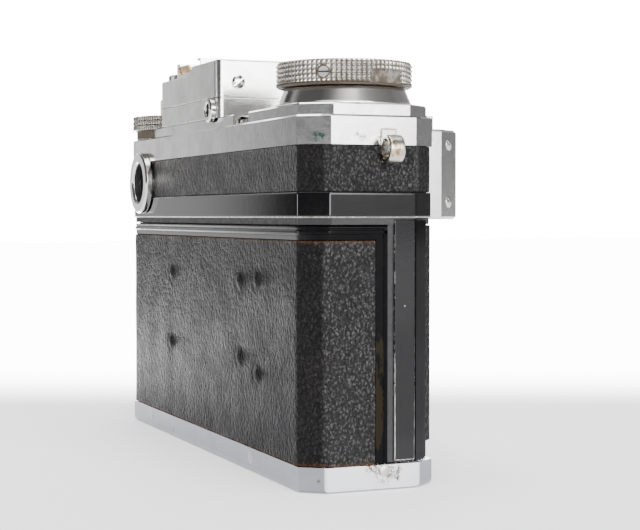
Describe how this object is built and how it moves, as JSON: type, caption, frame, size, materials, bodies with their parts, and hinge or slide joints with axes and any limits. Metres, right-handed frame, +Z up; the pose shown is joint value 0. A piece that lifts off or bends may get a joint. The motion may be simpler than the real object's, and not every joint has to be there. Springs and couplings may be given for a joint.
{
  "type": "rangefinder camera",
  "caption": "Vintage long-base rangefinder film camera with a light-meter housing on top, a collapsible lens and a removable back and base.",
  "frame": {"origin": "mouth of the tripod socket in the base", "axes": "+X from the winding end to the rewinding end, +Y from the lens side to the back, +Z up"},
  "size_m": [0.147, 0.0545, 0.099],
  "materials": {
    "black_enamel": "gloss",
    "leather": "satin",
    "satin_chrome": "satin",
    "polished_chrome": "polished",
    "knurled_chrome": "satin",
    "aluminium": "satin",
    "brass": "worn",
    "steel": "satin",
    "glass": "polished",
    "cell_black": "matte"
  },
  "bodies": {
    "camera_body": {"body_casting": "black_enamel", "front_leather": "leather", "end_strips": "black_enamel", "black_strip": "black_enamel", "leather_band": "leather", "mechanism_plate": "brass", "top_plate": "satin_chrome", "cone_collar": "polished_chrome", "strap_lugs": "polished_chrome", "meter_housing": "satin_chrome", "meter_cover": "satin_chrome", "cover_screws": "polished_chrome", "accessory_shoe": "polished_chrome", "shoe_spring": "brass", "meter_cell": "cell_black", "meter_movement": "steel", "window_glass": "glass", "flash_socket": "polished_chrome", "front_mask": "satin_chrome", "rangefinder_prism": "glass", "eyepiece_ring": "polished_chrome", "lens_mount": "polished_chrome", "shutter_crate": "aluminium", "shutter_curtain": "brass", "dial_base": "knurled_chrome"},
    "back_cover": {"back_shell": "black_enamel", "back_leather": "leather", "base_plate": "satin_chrome", "tripod_bush": "brass", "base_screws": "steel"},
    "pressure_plate": {"pressure_plate": "cell_black"},
    "base_key_right": {"base_key_right": "polished_chrome"},
    "base_key_left": {"base_key_left": "polished_chrome"},
    "key_handle_right": {"key_handle_right": "polished_chrome"},
    "key_handle_left": {"key_handle_left": "polished_chrome"},
    "wind_shaft": {"wind_shaft": "steel"},
    "speed_knob": {"speed_knob": "knurled_chrome", "knob_set_screw": "steel"},
    "shutter_button": {"shutter_button": "polished_chrome"},
    "take_up_spool": {"take_up_spool": "aluminium"},
    "sprocket_drum": {"sprocket_drum": "steel"},
    "counter_disc": {"counter_disc": "aluminium"},
    "shutter_roller_upper": {"shutter_roller_upper": "steel"},
    "shutter_roller_lower": {"shutter_roller_lower": "steel"},
    "rewind_shaft": {"rewind_shaft": "steel"},
    "rewind_knob": {"rewind_knob": "knurled_chrome"},
    "exposure_ring": {"exposure_ring": "knurled_chrome"},
    "calculator_ring": {"calculator_ring": "knurled_chrome"},
    "meter_needle": {"meter_needle": "steel"},
    "meter_flap": {"meter_flap": "satin_chrome"},
    "flap_catch": {"flap_catch": "polished_chrome"},
    "focus_wheel": {"focus_wheel": "knurled_chrome"},
    "infinity_catch": {"infinity_catch": "polished_chrome"},
    "self_timer_lever": {"self_timer_lever": "polished_chrome"},
    "helicoid_ring": {"helicoid_ring": "aluminium"},
    "lens_barrel": {"lens_barrel": "aluminium"},
    "lens_head": {"lens_head": "polished_chrome", "lens_glass": "glass"},
    "aperture_ring": {"aperture_ring": "knurled_chrome"},
    "rewind_release": {"rewind_release": "steel"}
  },
  "joints": [
    {"name": "back_slide", "type": "slide", "parent": "camera_body", "child": "back_cover", "axis": [0, 0, -1], "range_m": [0, 0.062]},
    {"name": "pressure_plate_give", "type": "slide", "parent": "back_cover", "child": "pressure_plate", "axis": [0, 1, 0], "range_m": [0, 0.0008], "stiffness_N_per_m": 400},
    {"name": "base_key_right_turn", "type": "hinge", "parent": "back_cover", "child": "base_key_right", "pos_m": [-0.052, 0, 0.001], "axis": [0, 0, 1], "range_deg": [0, 180]},
    {"name": "base_key_left_turn", "type": "hinge", "parent": "back_cover", "child": "base_key_left", "pos_m": [0.054, 0.001, 0.001], "axis": [0, 0, 1], "range_deg": [-180, 0]},
    {"name": "key_handle_right_fold", "type": "hinge", "parent": "base_key_right", "child": "key_handle_right", "pos_m": [-0.052, 0, 0.0004], "axis": [1, 0, 0], "range_deg": [0, 90]},
    {"name": "key_handle_left_fold", "type": "hinge", "parent": "base_key_left", "child": "key_handle_left", "pos_m": [0.054, 0.001, 0.0004], "axis": [1, 0, 0], "range_deg": [0, 90]},
    {"name": "wind_turn", "type": "hinge", "parent": "camera_body", "child": "wind_shaft", "pos_m": [-0.052, 0, 0.08], "axis": [0, 0, -1], "continuous": true},
    {"name": "speed_knob_lift", "type": "slide", "parent": "wind_shaft", "child": "speed_knob", "axis": [0, 0, 1], "range_m": [0, 0.002], "stiffness_N_per_m": 400},
    {"name": "shutter_button_press", "type": "slide", "parent": "wind_shaft", "child": "shutter_button", "axis": [0, 0, -1], "range_m": [0, 0.0018], "stiffness_N_per_m": 300},
    {"name": "take_up_turn", "type": "hinge", "parent": "camera_body", "child": "take_up_spool", "pos_m": [-0.052, 0, 0.03], "axis": [0, 0, -1], "continuous": true},
    {"name": "sprocket_turn", "type": "hinge", "parent": "camera_body", "child": "sprocket_drum", "pos_m": [-0.031, 0.003, 0.03], "axis": [0, 0, -1], "continuous": true},
    {"name": "counter_turn", "type": "hinge", "parent": "camera_body", "child": "counter_disc", "pos_m": [-0.0257, 0.006, 0.081], "axis": [0, 0, -1], "continuous": true},
    {"name": "roller_upper_turn", "type": "hinge", "parent": "camera_body", "child": "shutter_roller_upper", "pos_m": [0, 0.001, 0.0506], "axis": [1, 0, 0], "continuous": true},
    {"name": "roller_lower_turn", "type": "hinge", "parent": "camera_body", "child": "shutter_roller_lower", "pos_m": [0, 0.001, 0.0144], "axis": [1, 0, 0], "continuous": true},
    {"name": "rewind_turn", "type": "hinge", "parent": "camera_body", "child": "rewind_shaft", "pos_m": [0.054, 0.003, 0.08], "axis": [0, 0, -1], "continuous": true},
    {"name": "rewind_knob_pull", "type": "slide", "parent": "rewind_shaft", "child": "rewind_knob", "axis": [0, 0, 1], "range_m": [0, 0.004]},
    {"name": "exposure_ring_turn", "type": "hinge", "parent": "camera_body", "child": "exposure_ring", "pos_m": [0.054, 0.003, 0.085], "axis": [0, 0, 1], "range_deg": [-180, 180]},
    {"name": "calculator_ring_turn", "type": "hinge", "parent": "camera_body", "child": "calculator_ring", "pos_m": [0.054, 0.003, 0.086], "axis": [0, 0, 1], "range_deg": [-180, 180]},
    {"name": "needle_swing", "type": "hinge", "parent": "camera_body", "child": "meter_needle", "pos_m": [0.0327, 0.0053, 0.09], "axis": [0, 0, 1], "range_deg": [-16, 16], "stiffness_Nm_per_rad": 0.00002},
    {"name": "meter_flap_open", "type": "hinge", "parent": "camera_body", "child": "meter_flap", "pos_m": [0.015, -0.0178, 0.0952], "axis": [1, 0, 0], "range_deg": [-150, 0]},
    {"name": "flap_catch_press", "type": "slide", "parent": "camera_body", "child": "flap_catch", "axis": [0, 1, 0], "range_m": [0, 0.001], "stiffness_N_per_m": 250},
    {"name": "focus_turn", "type": "hinge", "parent": "camera_body", "child": "helicoid_ring", "pos_m": [0, -0.02, 0.033], "axis": [0, 1, 0], "range_deg": [0, 264]},
    {"name": "focus_advance", "type": "slide", "parent": "camera_body", "child": "lens_barrel", "axis": [0, -1, 0], "range_m": [0, 0.0029]},
    {"name": "focus_wheel_turn", "type": "hinge", "parent": "camera_body", "child": "focus_wheel", "pos_m": [-0.045, -0.0205, 0.08], "axis": [0, 0, 1], "range_deg": [-1400, 0]},
    {"name": "lens_collapse", "type": "slide", "parent": "lens_barrel", "child": "lens_head", "axis": [0, -1, 0], "range_m": [0, 0.014]},
    {"name": "aperture_turn", "type": "hinge", "parent": "lens_head", "child": "aperture_ring", "pos_m": [0, -0.0315, 0.033], "axis": [0, 1, 0], "range_deg": [0, 75]},
    {"name": "infinity_catch_push", "type": "slide", "parent": "camera_body", "child": "infinity_catch", "axis": [0, 1, 0], "range_m": [0, 0.0015], "stiffness_N_per_m": 250},
    {"name": "self_timer_wind", "type": "hinge", "parent": "camera_body", "child": "self_timer_lever", "pos_m": [-0.032, -0.0175, 0.044], "axis": [0, 1, 0], "range_deg": [0, 95]},
    {"name": "rewind_release_press", "type": "slide", "parent": "camera_body", "child": "rewind_release", "axis": [0, 0, 1], "range_m": [0, 0.0015], "stiffness_N_per_m": 250}
  ],
  "couplings": [
    {"joint": "take_up_turn", "follows": "wind_turn", "ratio": 1},
    {"joint": "sprocket_turn", "follows": "wind_turn", "ratio": -1},
    {"joint": "counter_turn", "follows": "wind_turn", "ratio": -0.027778},
    {"joint": "roller_upper_turn", "follows": "wind_turn", "ratio": 2},
    {"joint": "roller_lower_turn", "follows": "wind_turn", "ratio": 2},
    {"joint": "focus_advance", "follows": "focus_turn", "m_per_rad": 0.00062939},
    {"joint": "focus_wheel_turn", "follows": "focus_turn", "ratio": -5.25}
  ]
}
